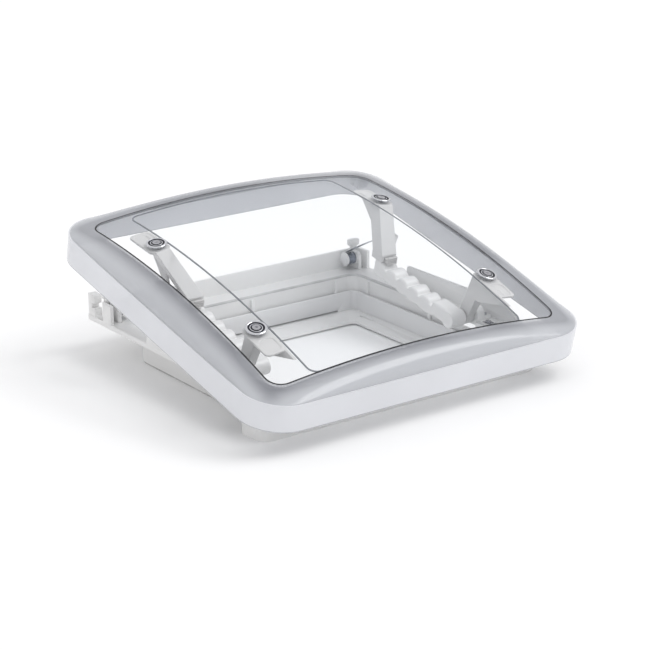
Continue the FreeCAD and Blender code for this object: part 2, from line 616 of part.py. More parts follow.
def make_leaf(side, tag):
    """Flat foot under a screw, and a blade that rises towards the front."""
    x = (f"{side} * leaf_x - leaf_wide / 2", f"{side} * leaf_x + leaf_wide / 2")
    foot = box("LeafFoot" + tag, x, ("leaf_fold - 0.5", "leaf_fold + leaf_foot"),
               ("plate_top", "plate_top + leaf_thick"))
    blade = doc.addObject("Part::Box", "LeafBlade" + tag)
    bind(blade, Length="leaf_wide", Width="leaf_long", Height="leaf_thick")
    blade.Placement = Placement(Vector(), Rotation(Vector(-1, 0, 0), 1.0))
    blade.setExpression("Placement.Rotation.Angle", expr("leaf_tilt"))
    place(blade, x[0], "leaf_fold - leaf_long * cos(leaf_tilt)", "plate_top + leaf_long * sin(leaf_tilt)")
    hole = cylinder("LeafHole" + tag, "screw_radius + 0.1", "leaf_thick + 2",
                    (f"{side} * leaf_x", "leaf_fold + leaf_foot / 2", "plate_top - 1"))
    node(cut("Leaf" + tag, fuse("LeafBlank" + tag, foot, blade), hole), "leaf_spring_" + tag)


# ---------------------------------------------------------------- dome

CROWN_CENTRE = "skirt_bottom + crown_height - crown_radius"


def crown_ball(name, drop):
    """The ball whose cap is the crown, lowered by drop."""
    ball = doc.addObject("Part::Sphere", name)
    bind(ball, Radius=f"crown_radius - ({drop})")
    return place(ball, "0", "0", CROWN_CENTRE)


def prism(name, width, depth, corner, low, height):
    """An upright prism on a rounded rectangle."""
    sketch = doc.addObject("Sketcher::SketchObject", name + "Sketch")
    add_rounded(sketch, width, depth, corner)
    place(sketch, "0", "0", low)
    item = doc.addObject("Part::Extrusion", name)
    item.Base = sketch
    item.DirMode = "Custom"
    item.Dir = Vector(0, 0, 1)
    item.Solid = True
    return bind(item, LengthFwd=height)


def dome_blank(name, inset, low):
    """The dome's solid envelope, inset by a wall: a plain skirt with a rounded crown on it."""
    crown_size = f"dome_size - 2 * skirt_step - 2 * ({inset})"
    core = prism(name + "Core", crown_size, crown_size, f"skirt_corner - skirt_step - ({inset})", low,
                 "crown_height + 20")
    cap = common(name + "Cap", core, crown_ball(name + "Ball", inset))
    cap = fillet(name + "Round", cap, f"crown_round - ({inset})",
                 lambda edge: not edge.Degenerated and not along(edge, "z")
                 and edge.CenterOfMass.z > number("skirt_bottom + skirt_height / 2"))
    skirt = prism(name + "Skirt", f"dome_size - 2 * ({inset})", f"dome_size - 2 * ({inset})",
                  f"skirt_corner - ({inset})", low, f"skirt_bottom + skirt_height - ({inset}) - ({low})")
    return fuse(name, cap, skirt)


def radial(x, y):
    """Rotation that turns +Z to the crown's normal above a point, and that normal."""
    normal = Vector(x, y, math.sqrt(VALUES["crown_radius"] ** 2 - x * x - y * y)).normalize()
    return Rotation(Vector(0, 0, 1), normal), normal


def crown_point(x, y, depth):
    """The point depth below the crown's surface on the normal that passes over (x, y)."""
    turn, normal = radial(x, y)
    return Vector(0, 0, number(CROWN_CENTRE)) + normal * (VALUES["crown_radius"] - depth)


def crown_cylinder(name, radius, x, y, top, bottom):
    """A cylinder on the crown's normal, from one depth below the surface to another."""
    item = doc.addObject("Part::Cylinder", name)
    bind(item, Radius=radius, Height=f"({bottom}) - ({top})")
    turn, normal = radial(x, y)
    item.Placement = Placement(crown_point(x, y, number(bottom)), turn)
    return item


POSTS = [(end, side) for end in (-1, 1) for side in (-1, 1)]


def post_spot(end, side):
    return side * VALUES["post_x"], end * VALUES["post_y"]


def make_outer_dome():
    outer = dome_blank("DomeOuter", "0", "skirt_bottom")
    inner = dome_blank("DomeInner", "dome_wall", "skirt_bottom - 1")
    holes = [crown_cylinder(f"DomeHole{count}", "post_bolt + bolt_play", *post_spot(*spot), "-5", "dome_wall + 3")
             for count, spot in enumerate(POSTS)]
    node(cut("Dome", outer, inner, *holes), "outer_dome", tilted=True)


PANE_TOP = "dome_wall + pane_gap"
SEAL_TOP = "dome_wall + seat_gap / 2"
RIM_TOP = f"{SEAL_TOP} + seal_thick + 0.05"


def crown_layer(name, width, depth, corner, top, bottom):
    """The part of an upright prism between two depths below the crown."""
    column = prism(name + "Column", width, depth, corner, "skirt_bottom", "crown_height + 10")
    upper = common(name + "Upper", column, crown_ball(name + "Top", top))
    return cut(name, upper, crown_ball(name + "Bottom", bottom))


def inner_prism(name, inset):
    return prism(name, f"pane_width - 2 * ({inset})", f"pane_depth - 2 * ({inset})", f"pane_corner - ({inset})",
                 "skirt_bottom - 10", "crown_height + 40")


def make_inner_pane():
    window = ("pane_width", "pane_depth", "pane_corner")
    plate = crown_layer("PanePlate", *window, PANE_TOP, f"{PANE_TOP} + pane_wall")
    rim = cut("PaneRim", crown_layer("PaneRimBlank", *window, RIM_TOP, f"{PANE_TOP} + 1"),
              inner_prism("PaneRimHollow", "seal_wide"))
    node(fuse("Pane", plate, rim), "inner_pane", tilted=True)
    seal = cut("Seal", crown_layer("SealBlank", *window, SEAL_TOP, f"{SEAL_TOP} + seal_thick"),
               inner_prism("SealHollow", "seal_wide"))
    node(seal, "window_seal", tilted=True)


def make_rosettes():
    """Screw cups on the dome's surface, and the screws in them."""
    for count, spot in enumerate(POSTS):
        x, y = post_spot(*spot)
        tag = ("front" if spot[0] < 0 else "rear") + ("_left" if spot[1] < 0 else "_right")
        cup = crown_cylinder(f"Cup{count}", "cup_radius", x, y, "-cup_thick", "-0.25")
        dish = crown_cylinder(f"CupDish{count}", "cup_radius - 2.2", x, y, "-cup_thick - 1", "-0.9")
        hole = crown_cylinder(f"CupHole{count}", "post_bolt + bolt_play", x, y, "-cup_thick - 2", "2")
        node(cut(f"Rosette{count}", cup, dish, hole), "screw_rosette_" + tag, tilted=True)
    screws = []
    for count, spot in enumerate(POSTS):
        x, y = post_spot(*spot)
        head = crown_cylinder(f"BoltHead{count}", "post_bolt + 2.2", x, y, "-cup_thick + 0.1", "-0.9")
        shank = crown_cylinder(f"BoltShank{count}", "post_bolt", x, y, "-1", "19")
        socket = crown_cylinder(f"BoltSocket{count}", "1.5", x, y, "-cup_thick - 1", "-1.2")
        screws.append(cut(f"Bolt{count}", fuse(f"BoltBlank{count}", head, shank), socket))
    group = doc.addObject("Part::Compound", "Bolts")
    group.Links = screws
    node(group, "post_screws", tilted=True)


TAB_TOP = "dome_wall + seat_gap"


def post_tab(name, end, side):
    """Top plate under the dome, beside the inner pane. It reaches from the screw towards its end of the dome."""
    x, y = post_spot(end, side)
    tab = doc.addObject("Part::Box", name)
    bind(tab, Length="tab_wide", Width="tab_long", Height="tab_thick")
    turn, normal = radial(x, y)
    inward = VALUES["tab_back"] if end > 0 else VALUES["tab_long"] - VALUES["tab_back"]
    corner = turn.multVec(Vector(-VALUES["tab_wide"] / 2, -inward, 0))
    tab.Placement = Placement(crown_point(x, y, number(f"{TAB_TOP} + tab_thick")) + corner, turn)
    tab = fillet(name + "Round", tab, "tab_corner", lambda edge: edge.Length < VALUES["tab_thick"] + 0.01)
    return cut(name + "Recessed", tab, tab_recess(name, end, side))


def tab_recess(name, end, side):
    """The shallow recess in a top plate, between the screw cup and the plate's free end."""
    recess = doc.addObject("Part::Box", name + "Recess")
    bind(recess, Length="tab_wide - 2 * tab_rim", Width="tab_long - tab_back - cup_radius - 2 * tab_rim",
         Height="recess_deep + 2")
    turn, normal = radial(*post_spot(end, side))
    near = number("cup_radius + tab_rim") if end > 0 else -number("tab_long - tab_back - tab_rim")
    corner = turn.multVec(Vector(-number("tab_wide / 2 - tab_rim"), near, 0))
    top = crown_point(*post_spot(end, side), number(f"{TAB_TOP} + recess_deep"))
    recess.Placement = Placement(top + corner, turn)
    return fillet(name + "RecessRound", recess, "tab_corner + 1",
                  lambda edge: abs(edge.Length - number("recess_deep + 2")) < 0.01)


def column(name, low, high):
    """A leaning four-sided column between two level rectangles (z, x pair, y pair)."""
    item = doc.addObject("Part::Wedge", name)
    bind(item, Xmin=low[1][0], Xmax=low[1][1], X2min=high[1][0], X2max=high[1][1],
         Zmin=f"-({low[2][1]})", Zmax=f"-({low[2][0]})", Z2min=f"-({high[2][1]})", Z2max=f"-({high[2][0]})",
         Ymin=low[0], Ymax=high[0])
    item.Placement = Placement(Vector(), Rotation(Vector(1, 0, 0), 90))
    return item


def trimmed(name, item):
    """What lies below the dome, shaped to it."""
    return common(name, item, crown_ball(name + "Limit", f"{TAB_TOP} + 0.02"))


COLUMN_TOP = "skirt_bottom + crown_height - 17"


def make_front_post(side, tag):
    tab = post_tab("FrontTab" + tag, -1, side)
    knuckle_span = span(side, "post_inner", "post_inner + knuckle_wide")
    knuckle = cylinder("PostKnuckle" + tag, "knuckle_radius - 1", "knuckle_wide",
                       (knuckle_span[0], "pivot_y", "pivot_z"), "X")
    top_x = span(side, "post_x - 10", "post_x + 4")
    shaft = column("FrontShaft" + tag,
                   ("pivot_z + 1", knuckle_span, ("pivot_y - knuckle_radius + 2", "pivot_y + knuckle_radius - 2")),
                   (f"{COLUMN_TOP} + 3", top_x, ("-post_y - 9", "-post_y + 11")))
    fin_x = span(side, "post_x - tab_wide / 2", "post_x - tab_wide / 2 + web_thick")
    fin = column("FrontFin" + tag, (f"{COLUMN_TOP} - 26", fin_x, ("-post_y - 8", "-post_y")),
                 (f"{COLUMN_TOP} + 3", fin_x, ("-post_y - 78", "-post_y")))
    body = trimmed("FrontBody" + tag, fuse("FrontBlank" + tag, tab, shaft, fin))
    blank = fuse("FrontPostBlank" + tag, knuckle, body)
    bore = cylinder("PostBore" + tag, "pin_radius + pin_play", "knuckle_wide + 4",
                    (f"{knuckle_span[0]} - 2", "pivot_y", "pivot_z"), "X")
    bolt = crown_cylinder("FrontBoltHole" + tag, "post_bolt + bolt_play", *post_spot(-1, side), "2", "20.5")
    node(cut("FrontPost" + tag, blank, bore, bolt), "front_post_" + tag, tilted=True)


GRIP_TOP = "grip_under + grip_thick + 6.5"


def make_rear_post(side, tag):
    tab = post_tab("RearTab" + tag, 1, side)
    foot_x = span(side, "grip_inner", "grip_inner + grip_wide")
    top_x = span(side, "post_x - 10", "post_x + 10")
    foot_y = ("grip_rear - foot_long + 8", "grip_rear + 8")
    foot = box("RearFoot" + tag, foot_x, foot_y, (GRIP_TOP, f"{GRIP_TOP} + foot_rise"))
    shaft = column("RearShaft" + tag, (f"{GRIP_TOP} + foot_rise", foot_x, foot_y),
                   (f"{COLUMN_TOP} + 3", top_x, ("post_y - 10", "post_y + 10")))
    web_x = span(side, "post_x - 8", "post_x - 8 + web_thick")
    web = column("RearWeb" + tag, ("hook_z - 4", web_x, ("hook_y - 8", "hook_y")),
                 (f"{COLUMN_TOP} + 3", web_x, ("post_y - 4", "post_y + tab_long - tab_back - 3")))
    hook_span = span(side, "drum_x + (drum_wide + flange_thick - 1.2) / 2 - ribbon_wide / 2",
                     "drum_x + (drum_wide + flange_thick - 1.2) / 2 + ribbon_wide / 2")
    hook = box("RearHook" + tag, hook_span, ("hook_y - 10", "hook_y - seat_gap"), ("hook_z - 3", "hook_z + 6"))
    arm = column("RearArm" + tag, (f"{GRIP_TOP} + 2", span(side, "grip_inner + 8", "grip_inner + grip_wide"),
                                   ("grip_rear - 4", "grip_rear + 6")),
                 ("hook_z + 6", hook_span, ("hook_y - 14", "hook_y - 2")))
    body = trimmed("RearBody" + tag, fuse("RearBlank" + tag, tab, shaft, web))
    blank = fuse("RearPostBlank" + tag, foot, body, hook, arm)
    bolt = crown_cylinder("RearBoltHole" + tag, "post_bolt + bolt_play", *post_spot(1, side), "2", "20.5")
    pocket_x = span(side, "grip_inner + (grip_wide - button_wide) / 2 - button_play",
                    "grip_inner + (grip_wide + button_wide) / 2 + button_play")
    room = box("ButtonRoom" + tag, pocket_x, (f"{foot_y[0]} - 1", f"{foot_y[0]} + button_long / 2 + button_travel + 1"),
               (f"{GRIP_TOP} - 1", f"{GRIP_TOP} + button_high + button_play + 0.4"))
    node(cut("RearPost" + tag, blank, bolt, room), "rear_post_" + tag, tilted=True)
    make_button(side, tag, foot_y[0])


def make_button(side, tag, face):
    """Ridged slider in the rear post's foot, which is pushed to the rear."""
    width = span(side, "grip_inner + (grip_wide - button_wide) / 2", "grip_inner + (grip_wide + button_wide) / 2")
    levels = (f"{GRIP_TOP} + 0.4", f"{GRIP_TOP} + 0.4 + button_high")
    slide = box("ButtonSlide" + tag, width, (f"{face} - button_long / 2", f"{face} + button_long / 2"), levels)
    thumb = box("ButtonThumb" + tag, width, (f"{face} - button_long / 2", f"{face} - button_travel - 1"),
                (levels[0], f"{levels[1]} + 3"))
    thumb = fillet("ButtonRound" + tag, thumb, "1.2",
                   lambda edge: along(edge, "x") and edge.CenterOfMass.z > number(f"{levels[1]} + 1"))
    grooves = [box(f"ButtonGroove{count}{tag}", (f"{width[0]} - 1", f"{width[1]} + 1"),
                   (f"{face} - button_long / 2 - 1", f"{face} - button_long / 2 + 0.8"),
                   (f"{levels[0]} + {1.6 + 2.4 * count}", f"{levels[0]} + {2.6 + 2.4 * count}"))
               for count in range(3)]
    blank = fuse("ButtonBlank" + tag, slide, thumb)
    node(cut("Button" + tag, blank, *grooves), "release_button_" + tag, tilted=True)


def make_grip(side, tag):
    """Grip handle with finger humps, from the hinge pin back to the rear post's foot."""
    width = span(side, "grip_inner", "grip_inner + grip_wide")
    bar = box("GripBar" + tag, width, ("pivot_y + elbow_length - 6", "grip_rear"),
              ("grip_under", "grip_under + grip_thick"))
    bar = fillet("GripBarFront" + tag, bar, "grip_thick - 4",
                 lambda edge: along(edge, "x") and edge.CenterOfMass.z < number("grip_under + 1")
                 and edge.CenterOfMass.y < number("pivot_y + elbow_length"))
    bar = fillet("GripBarRound" + tag, bar, "3",
                 lambda edge: along(edge, "y") and edge.CenterOfMass.z < number("grip_under + 1"))
    elbow = box("GripElbow" + tag, width, ("pivot_y", "pivot_y + elbow_length"), ("grip_under + 4", "elbow_top"))
    elbow = fillet("GripElbowRound" + tag, elbow, "4",
                   lambda edge: edge.CenterOfMass.z > number("elbow_top - 0.1")
                   and edge.CenterOfMass.y > number("pivot_y + 1"))
    knuckle = cylinder("GripKnuckle" + tag, "knuckle_radius", "grip_wide", (width[0], "pivot_y", "pivot_z"), "X")
    humps = []
    for count in range(5):
        hump = cylinder(f"GripHump{count}{tag}", "hump_radius", "grip_wide",
                        (width[0], f"hump_first - {count} * hump_pitch", "grip_under + grip_thick - 5.5"), "X")
        humps.append(fillet(f"GripHumpRound{count}{tag}", hump, "3", lambda edge: edge.Closed))
    post_seat = box("GripSeat" + tag, width, ("grip_rear - foot_long + 8", "grip_rear"),
                    ("grip_under + 3", GRIP_TOP))
    blank = fuse("GripBlank" + tag, bar, elbow, knuckle, post_seat, *humps)
    above = box("GripAbove" + tag, (f"{width[0]} - 1", f"{width[1]} + 1"),
                ("grip_rear - foot_long + 7", "grip_rear + 20"), (GRIP_TOP, f"{GRIP_TOP} + 20"))
    below = box("GripBelow" + tag, (f"{width[0]} - 1", f"{width[1]} + 1"),
                ("pivot_y + knuckle_radius", "grip_rear + 20"), ("grip_under - 20", "grip_under"))
    bore = cylinder("GripBore" + tag, "pin_radius + pin_play", "grip_wide",
                    (f"{width[0]} + {side} * 1", "pivot_y", "pivot_z"), "X")
    node(cut("Grip" + tag, blank, above, below, bore), "grip_handle_" + tag, tilted=True)


def make_corner_buffers():
    """Buffers that hang in the four corners of the dome, shaped to its inside."""
    inner = dome_blank("BufferLimit", "dome_wall + 0.15", "skirt_bottom - 1")
    buffers = []
    for count, (end, side) in enumerate(POSTS):
        x = span(side, "clip_place - clip_size / 2", "clip_place + clip_size / 2")
        y = span(end, "clip_place - clip_size / 2", "clip_place + clip_size / 2")
        level = "skirt_bottom + skirt_height + dome_wall"
        block = box(f"BufferBlock{count}", x, y, (f"{level} - clip_drop", f"{level} + 20"))
        slot = box(f"BufferSlot{count}", (f"{x[0]} - 1", f"{x[1]} + 1"),
                   (f"({y[0]} + {y[1]}) / 2 - 1.5", f"({y[0]} + {y[1]}) / 2 + 1.5"),
                   (f"{level} - clip_drop - 1", f"{level} - clip_drop + 5"))
        buffers.append(cut(f"Buffer{count}", common(f"BufferBody{count}", block, inner), slot))
    group = doc.addObject("Part::Compound", "Buffers")
    group.Links = buffers
    node(group, "corner_buffers", tilted=True)


# ---------------------------------------------------------------- the whole cover

make_base_frame()
make_collar()
make_gasket()
make_rim_seal()
SIDES = ((-1, "left"), (1, "right"))
for side, tag in SIDES:
    make_hinge(side, tag)
    make_spring_drive(side, tag)
    make_striker(side, tag)
    make_leaf(side, tag)
BRACKET_SCREW_X = "(bracket_inner + bracket_foot - 5)"
make_screws("BracketScrews", "bracket_screws",
            [(f"{side} * {BRACKET_SCREW_X}", f"pivot_y + {end} * bracket_long / 4")
             for side in (-1, 1) for end in (-1, 1)], "plate_top", "foot_thick")
make_screws("LeafScrews", "leaf_screws", [(f"{side} * leaf_x", "leaf_fold + leaf_foot / 2") for side in (-1, 1)],
            "plate_top", "leaf_thick")
make_outer_dome()
make_inner_pane()
make_rosettes()
for side, tag in SIDES:
    make_front_post(side, tag)
    make_rear_post(side, tag)
    make_grip(side, tag)
make_corner_buffers()

doc.recompute()
for item in doc.Objects:
    if "Invalid" in item.State or "Error" in item.State:
        raise RuntimeError(f"{item.Name} did not compute: {item.State}")
os.makedirs("parts", exist_ok=True)
for item in NODES:
    shape = item.Shape
    if shape.isNull() or not shape.isValid() or not shape.Solids:
        raise RuntimeError(f"{item.Label} has no valid solid")
    shape.exportStep(f"parts/{item.Label}.step")
    print(f"{item.Label}: {len(shape.Solids)} solid(s), {shape.Volume / 1000:.2f} cm3")
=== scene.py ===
import json
import math

import bmesh
import bpy
from mathutils import Matrix, Vector


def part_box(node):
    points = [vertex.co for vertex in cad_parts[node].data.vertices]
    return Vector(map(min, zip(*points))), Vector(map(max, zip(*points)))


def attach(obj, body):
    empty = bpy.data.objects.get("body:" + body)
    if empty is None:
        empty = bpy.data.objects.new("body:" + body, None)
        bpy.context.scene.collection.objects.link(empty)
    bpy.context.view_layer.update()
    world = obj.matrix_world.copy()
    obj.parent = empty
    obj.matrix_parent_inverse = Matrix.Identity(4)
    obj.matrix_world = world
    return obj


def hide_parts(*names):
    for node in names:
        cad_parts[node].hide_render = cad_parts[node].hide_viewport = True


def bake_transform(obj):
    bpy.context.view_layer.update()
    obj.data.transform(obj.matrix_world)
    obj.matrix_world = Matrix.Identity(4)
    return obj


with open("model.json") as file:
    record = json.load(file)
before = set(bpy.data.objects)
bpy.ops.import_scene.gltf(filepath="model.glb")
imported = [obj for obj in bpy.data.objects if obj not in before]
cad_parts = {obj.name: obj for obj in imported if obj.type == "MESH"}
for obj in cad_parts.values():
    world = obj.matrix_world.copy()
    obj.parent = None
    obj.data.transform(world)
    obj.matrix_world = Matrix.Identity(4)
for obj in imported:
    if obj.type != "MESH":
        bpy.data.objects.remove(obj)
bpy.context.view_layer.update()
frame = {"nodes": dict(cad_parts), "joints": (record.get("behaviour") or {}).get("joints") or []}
NODES = frame["nodes"]
MM = 0.001

# The dome is modelled closed, as it was drawn, and then turned about its hinge to the stored angle.
HINGE = next(joint for joint in frame["joints"] if joint["name"] == "dome_tilt")
PIVOT = Vector(HINGE["pos_m"])
OPEN_ANGLE = -math.radians(HINGE["range_deg"][0])
TILT = Matrix.Translation(PIVOT) @ Matrix.Rotation(OPEN_ANGLE, 4, "X") @ Matrix.Translation(-PIVOT)

# Dome sizes, closed. The outer widths come from the frame, and the rest are the shell's own.
DOME_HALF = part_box("outer_dome")[1][0]
WINDOW_HALF_X = 190 * MM
WINDOW_HALF_Y = 187 * MM
SKIRT_BOTTOM = 58 * MM
SKIRT_TOP = SKIRT_BOTTOM + 31.7 * MM
SKIRT_CORNER = 48 * MM
SKIRT_STEPS = (0.03, 0.12, 0.35, 0.35, 0.12, 0.03)
RIM_LINE = 0.9 * MM
BORDER_RINGS = [0.4 * MM, 0.6 * MM, 1.0 * MM, 1.5 * MM, 2 * MM, 2.5 * MM, 3 * MM, 3 * MM, 4 * MM, 4 * MM]
CROWN_STEP = 1.5 * MM
CROWN_ROUND = 16 * MM
CROWN_RADIUS = 1265 * MM
CROWN_TOP = SKIRT_BOTTOM + 66.4 * MM
DOME_WALL = 3 * MM
PANE_DROP = 4.2 * MM
PANE_WALL = 2.0 * MM
SEAL_WIDE = 1.6 * MM
LINE_WIDE = 1.8 * MM
PANE_HALF_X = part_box("inner_pane")[1][0]
PANE_CORNER = 12 * MM
PANE_SETBACK = 0.2 * MM
POST_X = 156 * MM
POST_Y = 101.5 * MM
CUP_RADIUS = 12.0 * MM
TAPE_BOW = 1.6 * MM

# The border darkens towards the window over this stretch. Its four sides run together at the corners.
BORDER_DARK_AT = 2 * MM
BORDER_PALE_AT = 25 * MM
BORDER_CORNER_BLEND = 20 * MM

# A dark strip behind the collar's foot: painted shade for the shadowed gap that shows through the drain
# slots.
SHADE_STRIP_GAP = 2.4 * MM
SHADE_STRIP_CORNER = 12 * MM
SHADE_STRIP_WIDE = 2.0 * MM
SHADE_STRIP_HIGH = 2.6 * MM
SHADE_STRIP_LEVEL = 4.8 * MM


# ---------------------------------------------------------------- working by hand

def deselect():
    bpy.ops.object.select_all(action="DESELECT")


def pick(obj):
    deselect()
    obj.select_set(True)
    bpy.context.view_layer.objects.active = obj


def apply_modifiers(obj):
    pick(obj)
    for modifier in list(obj.modifiers):
        bpy.ops.object.modifier_apply(modifier=modifier.name)


def settle(obj, matrix=None):
    """Puts the object's place into its mesh, so that its origin is the row's."""
    if matrix is not None:
        obj.matrix_world = matrix @ obj.matrix_world
    pick(obj)
    bpy.ops.object.transform_apply(location=True, rotation=True, scale=True)


def smooth(obj, angle=35):
    pick(obj)
    bpy.ops.object.shade_smooth_by_angle(angle=math.radians(angle))


def rounded(obj, width, segments=2, angle=40):
    bevel = obj.modifiers.new("Edges", "BEVEL")
    bevel.width = width
    bevel.segments = segments
    bevel.limit_method = "ANGLE"
    bevel.angle_limit = math.radians(angle)
    bevel.harden_normals = True
    bevel.use_clamp_overlap = True


def dressed(obj, *materials):
    obj.data.materials.clear()
    for material in materials:
        obj.data.materials.append(material)
    return obj


def merged_copy(node, name):
    """A copy of a CAD node with its loose triangles joined and its flat faces made whole."""
    source = NODES[node]
    obj = bpy.data.objects.new(name, source.data.copy())
    bpy.context.scene.collection.objects.link(obj)
    mesh = bmesh.new()
    mesh.from_mesh(obj.data)
    bmesh.ops.remove_doubles(mesh, verts=mesh.verts, dist=2e-6)
    bmesh.ops.dissolve_limit(mesh, angle_limit=math.radians(0.4), verts=mesh.verts, edges=mesh.edges)
    mesh.to_mesh(obj.data)
    mesh.free()
    return obj


def stand_in(obj, body, node):
    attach(obj, body)
    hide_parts(node)
    return obj


def refined(node, body, material, edge=0.5 * MM, segments=2, angle=35):
    """The CAD piece with its edges eased and its curves shaded smooth."""
    obj = merged_copy(node, node + "_moulded")
    rounded(obj, edge, segments)
    apply_modifiers(obj)
    smooth(obj, angle)
    dressed(obj, material)
    return stand_in(obj, body, node)


def soft_moulded(node, body, material, voxel=0.8 * MM, rounds=6):
    """The CAD piece as one moulding whose edges and inner corners all run into each other."""
    obj = merged_copy(node, node + "_moulded")
    remesh = obj.modifiers.new("Skin", "REMESH")
    remesh.mode = "VOXEL"
    remesh.voxel_size = voxel
    ease = obj.modifiers.new("Ease", "SMOOTH")
    ease.factor = 0.5
    ease.iterations = rounds
    apply_modifiers(obj)
    smooth(obj, 60)
    dressed(obj, material)
    return stand_in(obj, body, node)


# ---------------------------------------------------------------- finishes

def new_material(name):
    material = bpy.data.materials.new(name)
    material.use_nodes = True
    tree = material.node_tree
    shader = tree.nodes["Principled BSDF"]
    return material, tree, shader


def add_node(tree, kind, **settings):
    item = tree.nodes.new(kind)
    for key, value in settings.items():
        if key in item.inputs:
            item.inputs[key].default_value = value
        else:
            setattr(item, key, value)
    return item


def object_noise(tree, scale, detail=3.0):
    place = add_node(tree, "ShaderNodeTexCoord")
    noise = add_node(tree, "ShaderNodeTexNoise", Scale=scale, Detail=detail)
    tree.links.new(place.outputs["Object"], noise.inputs["Vector"])
    return noise.outputs["Fac"]


def ramp(tree, source, low, high, start=0.3, end=0.7):
    item = add_node(tree, "ShaderNodeValToRGB")
    item.color_ramp.elements[0].position = start
    item.color_ramp.elements[0].color = (*low, 1)
    item.color_ramp.elements[1].position = end
    item.color_ramp.elements[1].color = (*high, 1)
    tree.links.new(source, item.inputs["Fac"])
    return item.outputs["Color"]


def spread(tree, source, low, high):
    item = add_node(tree, "ShaderNodeMapRange")
    item.inputs["To Min"].default_value = low
    item.inputs["To Max"].default_value = high
    tree.links.new(source, item.inputs["Value"])
    return item.outputs["Result"]


def grain(tree, shader, scale, strength, distance=0.1 * MM):
    bump = add_node(tree, "ShaderNodeBump", Strength=strength, Distance=distance)
    tree.links.new(object_noise(tree, scale, 4.0), bump.inputs["Height"])
    tree.links.new(bump.outputs["Normal"], shader.inputs["Normal"])


def moulded_plastic(name, colour, shade=0.94, rough=(0.28, 0.40), texture=900, depth=0.12):
    """Injection-moulded plastic: a faint cloudiness in colour and gloss, and a fine spark-eroded grain."""
    material, tree, shader = new_material(name)
    dark = tuple(channel * shade for channel in colour)
    tree.links.new(ramp(tree, object_noise(tree, 14), dark, colour), shader.inputs["Base Color"])
    tree.links.new(spread(tree, object_noise(tree, 45), *rough), shader.inputs["Roughness"])
    grain(tree, shader, texture, depth)
    shader.inputs["IOR"].default_value = 1.5
    return material


def soft_rubber(name, colour):
    material, tree, shader = new_material(name)
    dark = tuple(channel * 0.7 for channel in colour)
    tree.links.new(ramp(tree, object_noise(tree, 60), dark, colour), shader.inputs["Base Color"])
    tree.links.new(spread(tree, object_noise(tree, 200), 0.55, 0.75), shader.inputs["Roughness"])
    grain(tree, shader, 1500, 0.2)
    return material


def metal(name, colour, rough):
    """Bright metal with fine drawn lines along X."""
    material, tree, shader = new_material(name)
    place = add_node(tree, "ShaderNodeTexCoord")
    stretch = add_node(tree, "ShaderNodeMapping")
    stretch.inputs["Scale"].default_value = (40, 900, 900)
    noise = add_node(tree, "ShaderNodeTexNoise", Scale=2.0, Detail=4.0)
    tree.links.new(place.outputs["Object"], stretch.inputs["Vector"])
    tree.links.new(stretch.outputs["Vector"], noise.inputs["Vector"])
    dark = tuple(channel * 0.85 for channel in colour)
    tree.links.new(ramp(tree, noise.outputs["Fac"], dark, colour), shader.inputs["Base Color"])
    tree.links.new(spread(tree, noise.outputs["Fac"], *rough), shader.inputs["Roughness"])
    shader.inputs["Metallic"].default_value = 1.0
    return material


def closed_place(tree):
    """Object coordinates turned back to the closed dome, so that a pattern can follow its outline."""
    place = add_node(tree, "ShaderNodeTexCoord")
    turn = add_node(tree, "ShaderNodeMapping")
    back = Matrix.Rotation(-OPEN_ANGLE, 3, "X")
    turn.inputs["Rotation"].default_value = (-OPEN_ANGLE, 0, 0)
    turn.inputs["Location"].default_value = PIVOT - back @ PIVOT
    tree.links.new(place.outputs["Object"], turn.inputs["Vector"])
    parts = add_node(tree, "ShaderNodeSeparateXYZ")
    tree.links.new(turn.outputs["Vector"], parts.inputs["Vector"])
    return parts


def math_node(tree, operation, first, second=None):
    item = add_node(tree, "ShaderNodeMath", operation=operation)
    for socket, term in zip(item.inputs, (first, second)):
        if isinstance(term, (int, float)):
            socket.default_value = term
        elif term is not None:
            tree.links.new(term, socket)
    return item.outputs["Value"]


def fade(tree, source, start, end, low=0.0, high=1.0):
    item = add_node(tree, "ShaderNodeMapRange", interpolation_type="SMOOTHSTEP")
    item.inputs["From Min"].default_value = start
    item.inputs["From Max"].default_value = end
    item.inputs["To Min"].default_value = low
    item.inputs["To Max"].default_value = high
    tree.links.new(source, item.inputs["Value"])
    return item.outputs["Result"]


def blended(tree, factor, first, second):
    item = add_node(tree, "ShaderNodeMix", data_type="RGBA")
    tree.links.new(factor, item.inputs["Factor"])
    item.inputs[6].default_value = (*first, 1)
    item.inputs[7].default_value = (*second, 1)
    return item.outputs[2]


def see_through(tree, shader, solid, haze, edge_share, power=5.0, tint=(0.996, 0.998, 1.0)):
    """Mixes the glossy body with a clear share. Steep views show more of the body."""
    clear = add_node(tree, "ShaderNodeBsdfTransparent")
    clear.inputs["Color"].default_value = (*tint, 1)
    tilt = add_node(tree, "ShaderNodeLayerWeight", Blend=0.5)
    steep = math_node(tree, "POWER", tilt.outputs["Facing"], power)
    body = spread(tree, object_noise(tree, 12), solid - haze, solid + haze)
    share = math_node(tree, "MAXIMUM", spread(tree, steep, solid, edge_share), body)
    mix = add_node(tree, "ShaderNodeMixShader")
    tree.links.new(share, mix.inputs["Fac"])
    tree.links.new(clear.outputs["BSDF"], mix.inputs[1])
    tree.links.new(shader.outputs["BSDF"], mix.inputs[2])
    tree.links.new(mix.outputs["Shader"], tree.nodes["Material Output"].inputs["Surface"])


